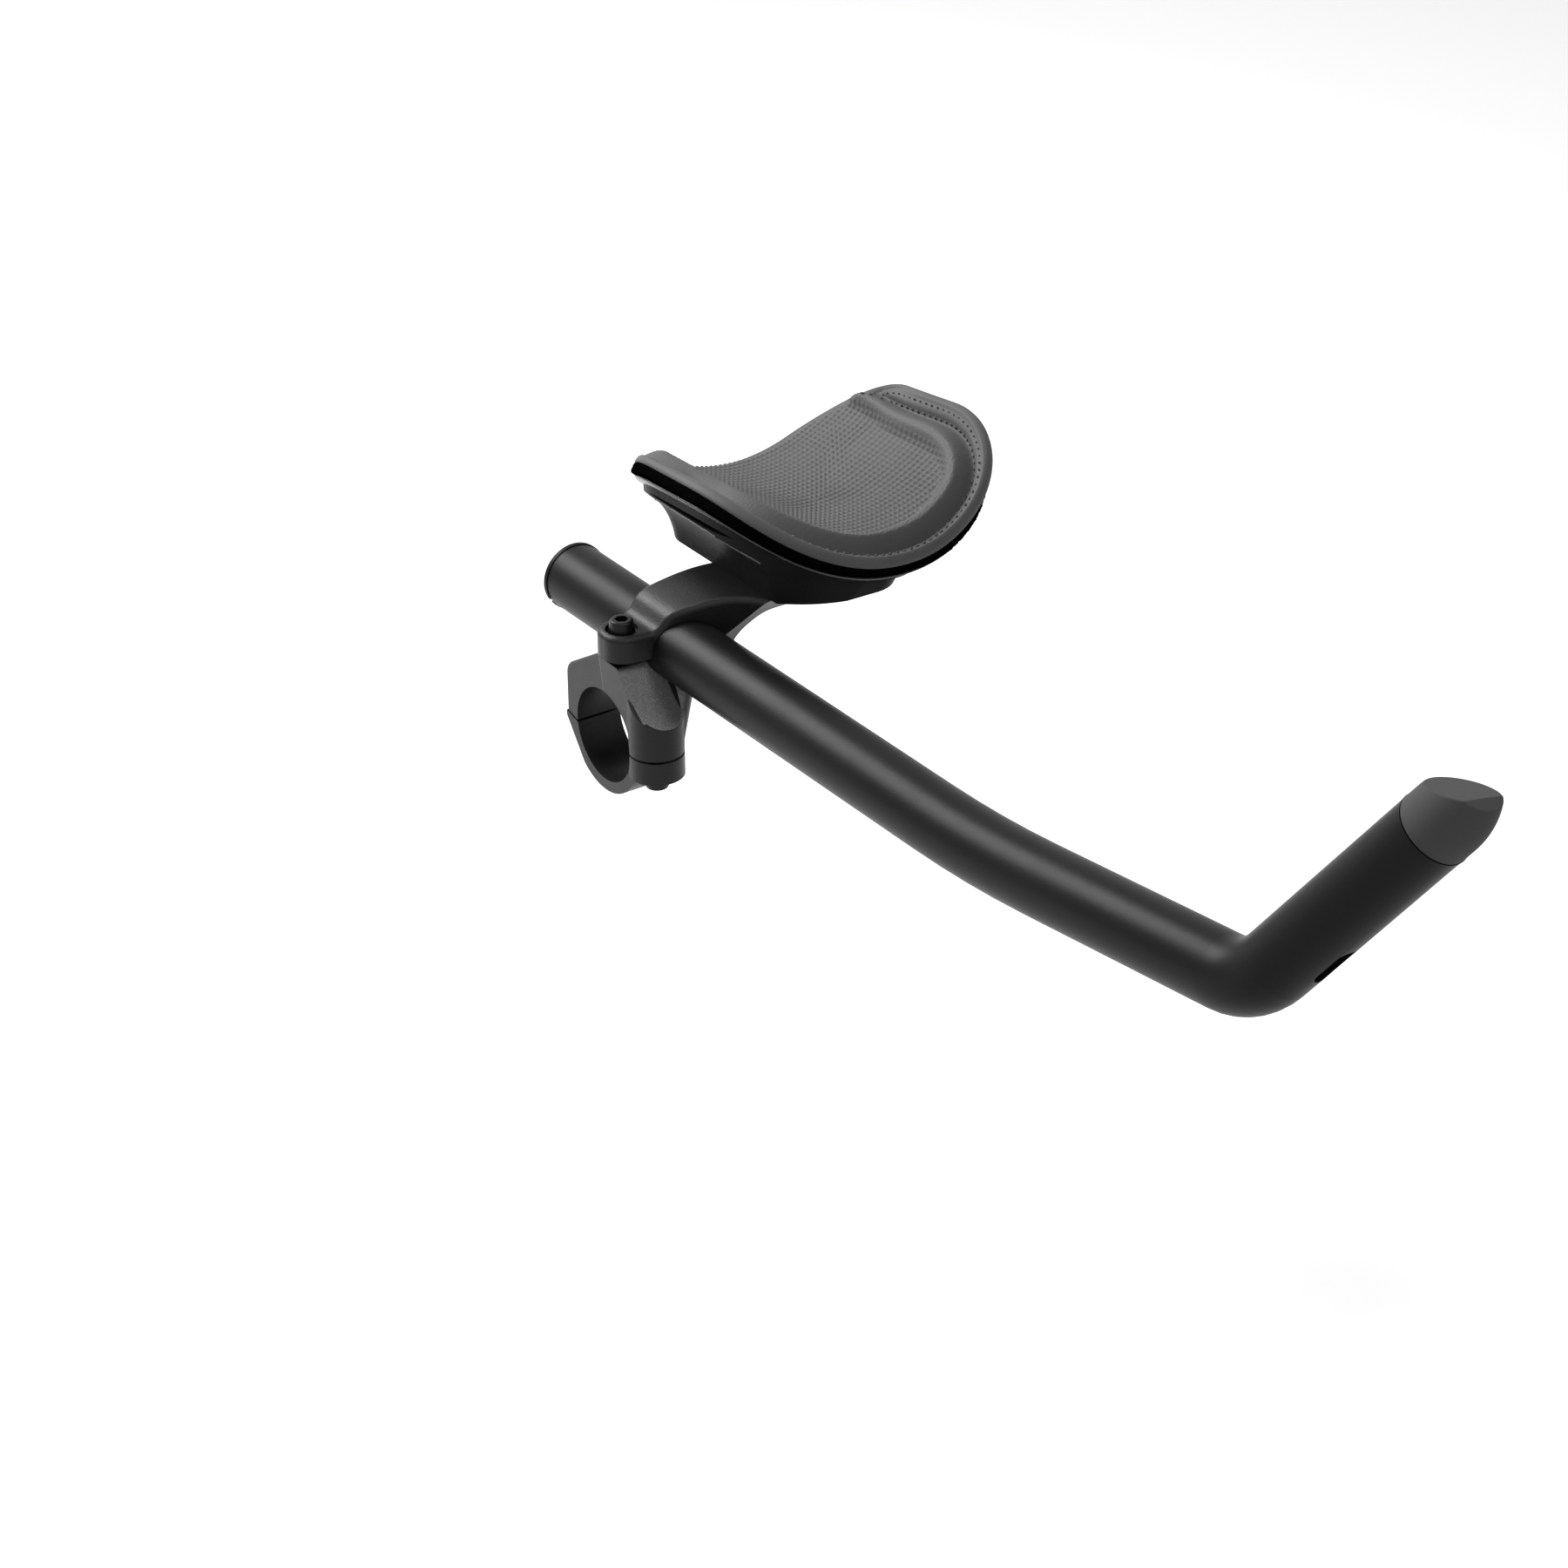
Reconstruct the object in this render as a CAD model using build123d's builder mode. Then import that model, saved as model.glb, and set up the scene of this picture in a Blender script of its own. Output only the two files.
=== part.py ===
from build123d import *
from math import cos, radians, sin
import os

os.makedirs("parts", exist_ok=True)

# Left extension of a clip-on pair, in millimetres.
# X runs forward, Y outboard and Z up. The origin is the centre of the handlebar clamp's bore.

# Handlebar clamp
bar_diameter = 31.8
clamp_width = 16.0
clamp_wall = 3.9
clamp_rear = 22.5
clamp_split = 0.8
bore_relief = 0.6
split_drop = 1.8
shoulder_height = 16.3
shoulder_round = 5.0
bar_bolt_reach = 18.6
boss_radius = 9.1
boss_top = 11.9
lug_depth = 8.0
cap_flat_rear = 12.5
tongue_reach = 19.6
tongue_thickness = 2.2
tongue_width = 10.0
tongue_height = 3.4
tongue_fit = 0.15

# Tube and its place over the bar
tube_diameter = 22.2
tube_wall = 1.8
tube_offset = 12.0
tube_height = 32.0
tube_behind = 47.0
first_bend_at = 223.5
first_bend_angle = 5.75
first_bend_radius = 500.0
middle_length = 116.4
elbow_angle = 49.45
elbow_radius = 24.0
tip_length = 80.3
bend_roll = 16.5
cable_slot_from_elbow = 28.0
cable_slot_length = 16.0
cable_slot_width = 7.0
cable_slot_turn = 12.0

# Plugs
plug_clearance = 0.15
plug_wall = 1.8
rear_flange = 2.0
rear_flange_proud = 0.3
rear_stem = 13.0
notch_width = 2.2
notch_depth = 1.6
notch_angle = 215.0
nose_ridge = 2.6
nose_length = 18.7
nose_back_edge = -2.1
nose_brow = 22.2
nose_skew = 0.055
nose_rise = 0.073
nose_straight = 5.0
nose_crown = 6.2
nose_height = 21.0
nose_edge_round = 0.5
front_stem = 22.0

# Bolt seat and scooped web on the body
lug_top = 29.0
seat_rear = -1.5
seat_front = 11.4
scoop_radius = 40.0
scoop_outboard = 6.5
body_edge_round = 1.5
seat_inboard = 9.6
seat_corner = 3.0
seat_foot = 14.0
web_foot = 4.0
web_top = 24.0
web_x = 10.5
web_y = 10.2
web_radius = 9.6

# Tube clamp made by the body and the arm
tube_clamp_rear = -3.0
tube_clamp_front = 18.4
clamp_fit = 0.05
cradle_wall = 3.8
arm_wall = 4.3
arm_bolt_x = 7.6
arm_bolt_inboard = 4.9
lobe_radius = 7.1
lobe_bottom = 31.4
lobe_top = 40.2
hook_radius = 2.1
hook_wall = 1.6
hook_fit = 0.15
hook_web = 0.9
hook_angle = -56.0
hook_turn = 20.0
hook_opening = 16.0
neck_thickness = 2.0

# Socket bolts
bolt_diameter = 5.0
bolt_hole = 5.6
thread_fit = 0.05
bolt_head_base = 8.6
bolt_head_top = 7.4
bolt_head_height = 5.0
bolt_head_round = 0.8
bolt_socket = 4.0
bolt_socket_depth = 2.8
bolt_spare = 1.5
arm_bolt_length = 20.0
bar_bolt_length = 18.0
counterbore_diameter = 10.6
counterbore_depth = 1.6

# Arm
arm_top = 50.5
arm_thickness = 6.0
arm_end = 84.0
arm_rear = 1.0
arm_front = 39.0
arm_corner = 9.0
crest_inboard = 6.0
crest_rise = 1.55
crest_reach = 1.0
arm_edge_round = 2.0
arm_back = -2.4
arm_back_from = 3.0
arm_back_to = 13.0
arm_back_round = 20.0
arm_bed_from = 35.0
arm_waist_x = 26.0
arm_waist_y = 25.0
arm_waist_round = 30.0
arm_front_round = 14.0
lobe_neck = 7.0
lobe_shoulder = 1.5
neck_round = 3.0
gusset_y = 30.3
gusset_z = 40.0
gusset_end = 38.0
brow_foot = 25.0
brow_x = 27.0
brow_z = 39.6
brow_end_x = 45.0
brow_end_z = 60.0

# Armrest shell
rest_x = 9.4
rest_y = 72.0
rest_low = 54.8
rest_width = 106.6
rest_rear = 52.6
rest_front = 46.2
rest_corner = 30.0
rest_fullness = 0.74
rest_pitch = 2.8
trough_radius = 69.5
shell_thickness = 2.6
shell_inset = 4.0
keel_rear = -28.2
keel_front = 50.2
keel_inboard = 33.0
keel_outboard = 76.0
keel_corner = 12.0
hull_height = 6.5
hull_rear = -31.6
hull_front = 50.6
hull_inboard = 32.0
hull_outboard = 82.0
hull_corner = 14.0
flare_height = 19.5
flare_rear = -52.0
flare_front = 52.0
flare_inboard = 21.0
flare_outboard = 107.0
flare_corner = 26.0
keel_wall = 3.0
keel_pocket_end = 64.0

# Armrest screws
screw_diameter = 5.0
screw_head = 9.6
screw_head_height = 1.6
screw_head_fit = 0.4
screw_length = 8.5
screw_socket = 3.0
screw_socket_depth = 1.0
screw_seat = 53.0
screw_x = 20.0
screw_y = 62.0
screw_spacing = 16.0

# Pad
patch_thickness = 1.2
patch_length = 52.0
patch_width = 16.0
patch_corner = 4.0
side_patch_inset = 20.3
front_patch_inset = 18.2
rear_patch_inset = 17.6
end_patch_width = 34.0
end_patch_length = 14.0
backing_thickness = 3.0
cushion_thickness = 6.4
cushion_dish = 2.2
flange_thickness = 2.4
flange_width = 5.5
bolster_width = 14.0

# Frames of the tube: the plane that its bends lie in, and one at each end
tube_radius = tube_diameter / 2
tube_bore = tube_radius - tube_wall
tip_angle = first_bend_angle + elbow_angle
rear_centre = Vector(-tube_behind, tube_offset, tube_height)
bend_plane = Plane(
    origin=rear_centre,
    x_dir=(1, 0, 0),
    z_dir=(0, -cos(radians(bend_roll)), sin(radians(bend_roll))),
)


def in_bend(angle):
    """Direction in the bend plane, at an angle above the tube's first straight."""
    return bend_plane.x_dir * cos(radians(angle)) + bend_plane.y_dir * sin(radians(angle))


tip_axis = in_bend(tip_angle)
tip_front = in_bend(tip_angle - 90)
first_centre = rear_centre + bend_plane.x_dir * first_bend_at
elbow_centre = first_centre + in_bend(first_bend_angle) * middle_length
tip_plane = Plane(origin=elbow_centre + tip_axis * tip_length, x_dir=tip_front, z_dir=tip_axis)
rear_plane = Plane(origin=rear_centre, x_dir=(0, 1, 0), z_dir=(1, 0, 0))
cable_slot_out = tip_front * cos(radians(cable_slot_turn)) + tip_plane.y_dir * sin(radians(cable_slot_turn))
cable_slot_plane = Plane(
    origin=elbow_centre + tip_axis * cable_slot_from_elbow, x_dir=tip_axis, z_dir=cable_slot_out
)
nose_line = tip_plane.y_dir - tip_front * nose_skew + tip_axis * nose_rise
nose_section = Plane(origin=tip_plane.origin, x_dir=tip_front, z_dir=tip_plane.y_dir * -1)
nose_plane = Plane(
    origin=tip_plane.origin + nose_line * tube_diameter, x_dir=nose_line.cross(tip_axis), z_dir=nose_line * -1
)


# Extension tube: a gentle first bend, a tight elbow and a rising tip with a slot for a cable
with BuildPart() as extension_tube:
    with BuildLine():
        FilletPolyline(
            rear_centre,
            first_centre,
            elbow_centre,
            tip_plane.origin,
            radius=(first_bend_radius, elbow_radius),
        )
    with BuildSketch(rear_plane):
        Circle(tube_radius)
        Circle(tube_bore, mode=Mode.SUBTRACT)
    sweep()
    with BuildSketch(cable_slot_plane):
        SlotOverall(cable_slot_length, cable_slot_width)
    extrude(amount=tube_diameter, mode=Mode.SUBTRACT)
extension_tube.part.label = "extension_tube"
export_step(extension_tube.part, "parts/extension_tube.step")


# Rear plug: a thin flange over the tube's end, with a hollow stem inside and a notch in the rim
with BuildPart() as rear_plug:
    with BuildSketch(rear_plane):
        Circle(tube_radius + rear_flange_proud)
    extrude(amount=-rear_flange)
    chamfer(rear_plug.edges().sort_by(Axis.X)[0], rear_flange / 4)
    with BuildSketch(rear_plane):
        Circle(tube_bore - plug_clearance)
        Circle(tube_bore - plug_clearance - plug_wall, mode=Mode.SUBTRACT)
    extrude(amount=rear_stem)
    with BuildSketch(rear_plane):
        with PolarLocations(tube_radius + rear_flange_proud, 1, start_angle=notch_angle):
            Rectangle(2 * notch_depth, notch_width)
    extrude(amount=-rear_flange, mode=Mode.SUBTRACT)
rear_plug.part.label = "rear_plug"
export_step(rear_plug.part, "parts/rear_plug.step")


# Front plug: a tapering nose with two facets that meet in a ridge, on a hollow stem
with BuildPart() as front_plug:
    with BuildSketch(nose_section):
        with BuildLine():
            side = Line((tube_radius, 0), (tube_radius, nose_straight))
            taper = TangentArc(side @ 1, (nose_crown, nose_height), tangent=(0, 1))
            Polyline(taper @ 1, (0, nose_height), (0, 0), side @ 0)
        make_face()
    revolve(axis=Axis(tip_plane.origin, tip_axis))
    with BuildSketch(nose_plane):
        Polygon(
            (-tube_diameter, nose_back_edge),
            (nose_ridge, nose_length),
            (tube_diameter, nose_brow),
            (tube_diameter, -nose_length),
            (-tube_diameter, -nose_length),
            align=None,
        )
    extrude(amount=2 * tube_diameter, mode=Mode.INTERSECT)
    fillet(
        front_plug.faces().filter_by(GeomType.PLANE).sort_by(Axis(tip_plane.origin, tip_axis))[1:].edges(),
        nose_edge_round,
    )
    with BuildSketch(tip_plane):
        Circle(tube_bore - plug_clearance)
        Circle(tube_bore - plug_clearance - plug_wall, mode=Mode.SUBTRACT)
    extrude(amount=-front_stem)
front_plug.part.label = "front_plug"
export_step(front_plug.part, "parts/front_plug.step")


# Frames and sizes that the body, the cap and the arm share
bar_radius = bar_diameter / 2
half_split = clamp_split / 2
saddle_radius = tube_radius + clamp_fit
tube_side = Plane(origin=(0, tube_offset, tube_height), x_dir=(0, 1, 0), z_dir=(1, 0, 0))
clamp_length = tube_clamp_front - tube_clamp_rear
hook_reach = saddle_radius + hook_web + hook_fit + hook_radius
hook_centre = (hook_reach * cos(radians(hook_angle)), hook_reach * sin(radians(hook_angle)))
bolt_y = -arm_bolt_inboard
bolt_seat = lobe_top - counterbore_depth
boss_front = bar_bolt_reach + boss_radius


def sector(inner, outer, start, stop):
    """Flat ring between two radii, cut off at two angles in degrees."""
    with BuildSketch() as shape:
        with BuildLine():
            inside = CenterArc((0, 0), inner, start, stop - start)
            outside = CenterArc((0, 0), outer, start, stop - start)
            Line(inside @ 0, outside @ 0)
            Line(inside @ 1, outside @ 1)
        make_face()
    return shape.sketch


def clamp_plan():
    """Plan of the handlebar clamp: the ring's width and a round boss in front."""
    with BuildSketch() as shape:
        with Locations((-2 * clamp_rear, 0)):
            Rectangle(2 * clamp_rear + bar_bolt_reach, clamp_width, align=(Align.MIN, Align.CENTER))
        with Locations((bar_bolt_reach, 0)):
            Circle(boss_radius)
    return shape.sketch


def tongue(fit):
    """Rounded tongue across the clamp's rear joint, with room around it."""
    with BuildSketch() as shape:
        with Locations((-tongue_reach, 0)):
            SlotCenterToCenter(2 * tongue_height - tongue_thickness, tongue_thickness + 2 * fit, rotation=90)
    return shape.sketch


# Body: upper half of the bar clamp, scooped web, bolt seat and the cradle under the tube
with BuildPart() as bracket_body:
    with BuildSketch(Plane.XZ):
        with BuildLine():
            shoulder = FilletPolyline(
                (-clamp_rear, half_split),
                (-clamp_rear, shoulder_height),
                (seat_rear, lug_top),
                (seat_front, lug_top),
                radius=(shoulder_round, shoulder_round),
            )
            scoop = RadiusArc(shoulder @ 1, (boss_front, boss_top), -scoop_radius)
            Polyline(
                scoop @ 1,
                (boss_front, half_split),
                (0, half_split),
                (-bar_radius, half_split - split_drop),
                (-clamp_rear, half_split),
            )
        make_face()
    extrude(amount=clamp_width, both=True)
    with BuildSketch(Plane.XY.offset(-clamp_rear)):
        add(clamp_plan())
    extrude(amount=3 * clamp_rear, mode=Mode.INTERSECT)
    fillet(
        bracket_body.edges().filter_by(
            lambda edge: edge.center().Z > clamp_split
            and (edge.center().X > seat_front or abs(edge.center().Y) > clamp_width / 3)
        ),
        body_edge_round,
    )
    with BuildSketch(Plane.XY.offset(web_foot)):
        with Locations((bar_bolt_reach, 0)):
            Circle(boss_radius)
    with BuildSketch(Plane.XY.offset(web_top)):
        with Locations((web_x, web_y)):
            Circle(web_radius)
    loft()
    with BuildSketch(tube_side.offset(tube_clamp_rear)):
        Circle(saddle_radius + cradle_wall)
        with Locations((0, lug_top - tube_height)):
            Rectangle(4 * tube_radius, 2 * tube_diameter, align=(Align.CENTER, Align.MIN), mode=Mode.SUBTRACT)
        add(sector(saddle_radius / 2, 2 * saddle_radius, hook_angle + hook_opening, 0), mode=Mode.SUBTRACT)
        with Locations(hook_centre):
            Circle(hook_radius + hook_fit + hook_wall)
    extrude(amount=clamp_length)
    for height, inboard in ((seat_foot, -clamp_width / 2), (lug_top, -seat_inboard)):
        with BuildSketch(Plane.XY.offset(height)):
            with Locations((seat_rear, inboard)):
                RectangleRounded(
                    boss_front - seat_rear, 2 * bolt_diameter, seat_corner, align=(Align.MIN, Align.MIN)
                )
    loft()
    with BuildSketch(Plane.XZ.offset(-scoop_outboard)):
        with BuildLine():
            cut = RadiusArc((seat_front, lug_top), (boss_front, boss_top), -scoop_radius)
            Polyline(
                cut @ 1,
                (2 * boss_front, boss_top),
                (2 * boss_front, 2 * lug_top),
                (seat_front, 2 * lug_top),
                cut @ 0,
            )
        make_face()
    extrude(amount=2 * tube_diameter, mode=Mode.SUBTRACT)
    with BuildSketch(tube_side.offset(-2 * clamp_rear)):
        Circle(saddle_radius)
        with Locations(hook_centre):
            Circle(hook_radius + hook_fit)
        add(
            sector(
                hook_reach - neck_thickness / 2 - hook_fit,
                hook_reach + neck_thickness / 2 + hook_fit,
                hook_angle,
                hook_angle + 2 * hook_turn,
            )
        )
    extrude(amount=4 * clamp_rear, mode=Mode.SUBTRACT)
    with BuildSketch(Plane.XZ):
        Circle(bar_radius)
    extrude(amount=2 * tube_diameter, both=True, mode=Mode.SUBTRACT)
    for side in (-1, 1):
        with BuildSketch(Plane.XZ.offset(side * clamp_width / 2)):
            Circle(bar_radius + bore_relief)
        extrude(amount=side * 2 * tube_diameter, mode=Mode.SUBTRACT)
    with BuildSketch(Plane.XZ):
        add(tongue(tongue_fit))
    extrude(amount=tongue_width / 2 + tongue_fit, both=True, mode=Mode.SUBTRACT)
    with Locations((arm_bolt_x, bolt_y, lug_top)):
        Hole(bolt_diameter / 2 + thread_fit, lug_top - bolt_seat + arm_bolt_length + bolt_spare)
    with Locations(Location((bar_bolt_reach, 0, half_split), (180, 0, 0))):
        Hole(bolt_diameter / 2 + thread_fit, bar_bolt_length - lug_depth - half_split + bolt_spare)
bracket_body.part.label = "bracket_body"
export_step(bracket_body.part, "parts/bracket_body.step")


# Cap: lower half of the bar clamp, hooked into the body behind and bolted in front
with BuildPart() as bar_clamp_cap:
    with BuildSketch(Plane.XZ):
        with BuildLine():
            ring_radius = bar_radius + clamp_wall
            lug_root = (ring_radius**2 - lug_depth**2) ** 0.5
            ring_flat = -((ring_radius**2 - cap_flat_rear**2) ** 0.5)
            Polyline(
                (-cap_flat_rear, ring_flat),
                (-clamp_rear, -half_split - split_drop),
                (-clamp_rear, -half_split),
                (-bar_radius, -half_split - split_drop),
                (0, -half_split),
                (bar_bolt_reach, -half_split),
                (bar_bolt_reach, -lug_depth),
                (lug_root, -lug_depth),
            )
            RadiusArc((lug_root, -lug_depth), (-cap_flat_rear, ring_flat), ring_radius)
        make_face()
    extrude(amount=clamp_width / 2, both=True)
    with BuildSketch(Plane.XZ):
        add(tongue(0))
    extrude(amount=tongue_width / 2, both=True)
    with BuildSketch(Plane.XY.offset(-half_split)):
        with Locations((bar_bolt_reach, 0)):
            Circle(boss_radius)
    extrude(amount=half_split - lug_depth)
    with BuildSketch(Plane.XZ):
        Circle(bar_radius)
    extrude(amount=tube_diameter, both=True, mode=Mode.SUBTRACT)
    for side in (-1, 1):
        with BuildSketch(Plane.XZ.offset(side * clamp_width / 2)):
            Circle(bar_radius + bore_relief)
        extrude(amount=side * boss_radius, mode=Mode.SUBTRACT)
    with Locations((bar_bolt_reach, 0, 0)):
        Hole(bolt_hole / 2)
    with BuildSketch(Plane.XY.offset(-lug_depth)):
        with Locations((bar_bolt_reach, 0)):
            Circle(counterbore_diameter / 2)
    extrude(amount=-clamp_rear, mode=Mode.SUBTRACT)
bar_clamp_cap.part.label = "bar_clamp_cap"
export_step(bar_clamp_cap.part, "parts/bar_clamp_cap.step")


def socket_bolt(length):
    """Bolt with a tapered head and a hexagon socket, seated at the origin with its head up."""
    with BuildPart() as bolt:
        with BuildSketch():
            Circle(bolt_head_base / 2)
        with BuildSketch(Plane.XY.offset(bolt_head_height)):
            Circle(bolt_head_top / 2)
        loft()
        fillet(bolt.edges().sort_by(Axis.Z)[-1], bolt_head_round)
        with BuildSketch():
            Circle(bolt_diameter / 2)
        extrude(amount=-length)
        chamfer(bolt.edges().sort_by(Axis.Z)[0], bolt_head_round)
        with BuildSketch(Plane.XY.offset(bolt_head_height)):
            RegularPolygon(bolt_socket / 2, 6, major_radius=False)
        extrude(amount=-bolt_socket_depth, mode=Mode.SUBTRACT)
    return bolt.part


with BuildPart() as arm_clamp_bolt:
    with Locations((arm_bolt_x, bolt_y, bolt_seat)):
        add(socket_bolt(arm_bolt_length))
arm_clamp_bolt.part.label = "arm_clamp_bolt"
export_step(arm_clamp_bolt.part, "parts/arm_clamp_bolt.step")


with BuildPart() as bar_clamp_bolt:
    with Locations(Location((bar_bolt_reach, 0, -lug_depth), (180, 0, 0))):
        add(socket_bolt(bar_bolt_length))
bar_clamp_bolt.part.label = "bar_clamp_bolt"
export_step(bar_clamp_bolt.part, "parts/bar_clamp_bolt.step")


# Arm: one piece from the bolt lobe over the tube to the flat bed under the armrest
with BuildPart() as armrest_arm:
    with BuildSketch(Plane.YZ.offset(-3 * clamp_rear)):
        with BuildLine():
            wrap = CenterArc(
                (tube_offset, tube_height), saddle_radius + arm_wall, hook_angle + hook_turn, -hook_angle - hook_turn
            )
            side = Spline(
                wrap @ 1,
                (gusset_y, gusset_z),
                (gusset_end, arm_top - arm_thickness),
                tangents=((0, 1), (1, 0)),
            )
            bed = Polyline(
                side @ 1,
                (2 * arm_end, arm_top - arm_thickness),
                (2 * arm_end, arm_top),
                (keel_inboard - crest_reach, arm_top),
            )
            crest = Spline(
                bed @ 1,
                (tube_offset, tube_height + saddle_radius + arm_wall),
                (tube_offset - crest_inboard, tube_height + saddle_radius + crest_rise),
                (bolt_y + counterbore_diameter / 2, lobe_top),
                tangents=((-1, 0), (-1, 0)),
            )
            Polyline(
                crest @ 1,
                (bolt_y - 2 * lobe_radius, lobe_top),
                (bolt_y - 2 * lobe_radius, lobe_bottom),
                (tube_offset, lobe_bottom),
                wrap @ 0,
            )
        make_face()
    extrude(amount=6 * clamp_rear)
    with BuildSketch():
        with BuildLine():
            FilletPolyline(
                (arm_bolt_x - lobe_radius, bolt_y - lobe_radius),
                (arm_back, arm_back_from),
                (arm_back, arm_back_to),
                (arm_rear, arm_bed_from),
                (arm_rear, arm_end),
                (arm_front, arm_end),
                (arm_front, arm_bed_from),
                (arm_waist_x, arm_waist_y),
                (arm_bolt_x + lobe_radius + lobe_shoulder, bolt_y + lobe_neck),
                (arm_bolt_x + lobe_radius, bolt_y - lobe_radius),
                radius=(
                    lobe_radius - clamp_fit,
                    arm_corner,
                    arm_back_round,
                    arm_back_round,
                    arm_corner,
                    arm_corner,
                    arm_front_round,
                    arm_waist_round,
                    neck_round,
                    lobe_radius - clamp_fit,
                ),
                close=True,
            )
        make_face()
    extrude(amount=3 * clamp_rear, mode=Mode.INTERSECT)
    with BuildSketch(Plane.XZ):
        with BuildLine():
            front = Spline((tube_clamp_front, brow_foot), (brow_x, brow_z), (brow_end_x, brow_end_z))
            Polyline(
                front @ 1,
                (-clamp_rear, brow_end_z),
                (-clamp_rear, 0),
                (tube_clamp_front, 0),
                front @ 0,
            )
        make_face()
    extrude(amount=-2 * arm_end, both=True, mode=Mode.INTERSECT)
    arm_top_faces = armrest_arm.faces().filter_by(lambda face: face.normal_at().Z > face.normal_at().length / 3)
    arm_top_edges = ShapeList(edge for face in arm_top_faces for edge in face.edges())
    fillet(
        arm_top_edges.filter_by(
            lambda edge: edge.center().Y < keel_inboard - arm_edge_round
            and sum(edge.is_same(other) for other in arm_top_edges) == 1
        ),
        arm_edge_round,
    )
    with BuildSketch(tube_side.offset(tube_clamp_rear)):
        add(
            sector(
                hook_reach - neck_thickness / 2,
                hook_reach + neck_thickness / 2,
                hook_angle,
                hook_angle + hook_turn + 2,
            )
        )
        with Locations(hook_centre):
            Circle(hook_radius)
    extrude(amount=clamp_length)
    with BuildSketch(tube_side.offset(-2 * clamp_rear)):
        Circle(saddle_radius)
    extrude(amount=4 * clamp_rear, mode=Mode.SUBTRACT)
    with Locations((arm_bolt_x, bolt_y, lobe_top)):
        CounterBoreHole(bolt_hole / 2, counterbore_diameter / 2, counterbore_depth)
    with Locations((screw_x, screw_y, arm_top)):
        with GridLocations(0, screw_spacing, 1, 2):
            Hole(screw_diameter / 2 + thread_fit)
armrest_arm.part.label = "armrest_arm"
export_step(armrest_arm.part, "parts/armrest_arm.step")


# Frames of the armrest: level of its lowest line, and the section across its trough
nose_up = radians(rest_pitch)
rest_plane = Plane(
    origin=(rest_x, rest_y, rest_low), x_dir=(cos(nose_up), 0, sin(nose_up)), z_dir=(-sin(nose_up), 0, cos(nose_up))
)
rest_across = Plane(origin=rest_plane.origin, x_dir=(0, 1, 0), z_dir=rest_plane.x_dir)


def rim(inset, radius):
    """Plan of the armrest inside its rim, for a sheet at a distance from the trough's axis."""
    half = (rest_width / 2) * radius / trough_radius - inset
    front = rest_front - inset
    rear = rest_rear - inset
    with BuildSketch() as shape:
        with BuildLine():
            nose = Spline(
                (0, -half),
                (rest_fullness * front, -rest_fullness * half),
                (front, 0),
                (rest_fullness * front, rest_fullness * half),
                (0, half),
                tangents=((1, 0), (-1, 0)),
            )
            FilletPolyline(
                nose @ 1,
                (-rear, half),
                (-rear, -half),
                nose @ 0,
                radius=(rest_corner - inset, rest_corner - inset),
            )
        make_face()
    return shape.sketch


def patch(x, y, length, width):
    """Plan of one hook patch."""
    with BuildSketch() as shape:
        with Locations((x, y)):
            RectangleRounded(length, width, patch_corner)
    return shape.sketch


def sheet(outline, radius, thickness):
    """Curved sheet of the trough, square to its surface at the edges."""
    with BuildPart() as core:
        with BuildSketch(rest_plane.offset(-trough_radius)):
            add(outline)
        extrude(amount=2 * trough_radius)
        with BuildSketch(rest_across.offset(-rest_width)):
            with Locations((0, trough_radius)):
                Circle(radius)
        extrude(amount=2 * rest_width, mode=Mode.INTERSECT)
    with BuildPart() as curved:
        thicken(core.faces().sort_by(Axis(rest_plane.origin, rest_plane.z_dir))[0], amount=thickness)
    return curved.part


rest_plate = sheet(rim(shell_inset, trough_radius), trough_radius, shell_thickness)


def hull_plan(rear, front, inboard, outboard, corner):
    """Rounded plan of the shell's hull at one height."""
    with BuildSketch() as shape:
        with Locations(((rear + front) / 2, (inboard + outboard) / 2)):
            RectangleRounded(front - rear, outboard - inboard, corner)
    return shape.sketch


# Armrest shell: a curved plate on a flared hull with a flat foot, pocketed behind the arm
with BuildPart() as armrest_shell:
    with BuildSketch(Plane.XY.offset(arm_top)):
        add(hull_plan(keel_rear, keel_front, keel_inboard, keel_outboard, keel_corner))
    with BuildSketch(Plane.XY.offset(arm_top + hull_height)):
        add(hull_plan(hull_rear, hull_front, hull_inboard, hull_outboard, hull_corner))
    with BuildSketch(Plane.XY.offset(arm_top + flare_height)):
        add(hull_plan(flare_rear, flare_front, flare_inboard, flare_outboard, flare_corner))
    loft()
    with BuildSketch(rest_plane.offset(-trough_radius)):
        add(rim(shell_inset, trough_radius))
    extrude(amount=2 * trough_radius, mode=Mode.INTERSECT)
    with BuildSketch(Plane.XY.offset(arm_top)):
        with Locations(((keel_rear + arm_rear) / 2, (keel_inboard + keel_pocket_end) / 2)):
            RectangleRounded(
                arm_rear - keel_rear - 2 * keel_wall, keel_pocket_end - keel_inboard - 2 * keel_wall, keel_wall
            )
    extrude(amount=trough_radius / 3, mode=Mode.SUBTRACT)
    add(rest_plate)
    with BuildSketch(rest_across.offset(-rest_width)):
        with Locations((0, trough_radius)):
            Circle(trough_radius)
    extrude(amount=2 * rest_width, mode=Mode.SUBTRACT)
    with Locations((screw_x, screw_y, screw_seat)):
        with GridLocations(0, screw_spacing, 1, 2):
            Hole(bolt_hole / 2)
            Cylinder(
                screw_head / 2 + screw_head_fit,
                trough_radius / 3,
                align=(Align.CENTER, Align.CENTER, Align.MIN),
                mode=Mode.SUBTRACT,
            )
armrest_shell.part.label = "armrest_shell"
export_step(armrest_shell.part, "parts/armrest_shell.step")


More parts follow.
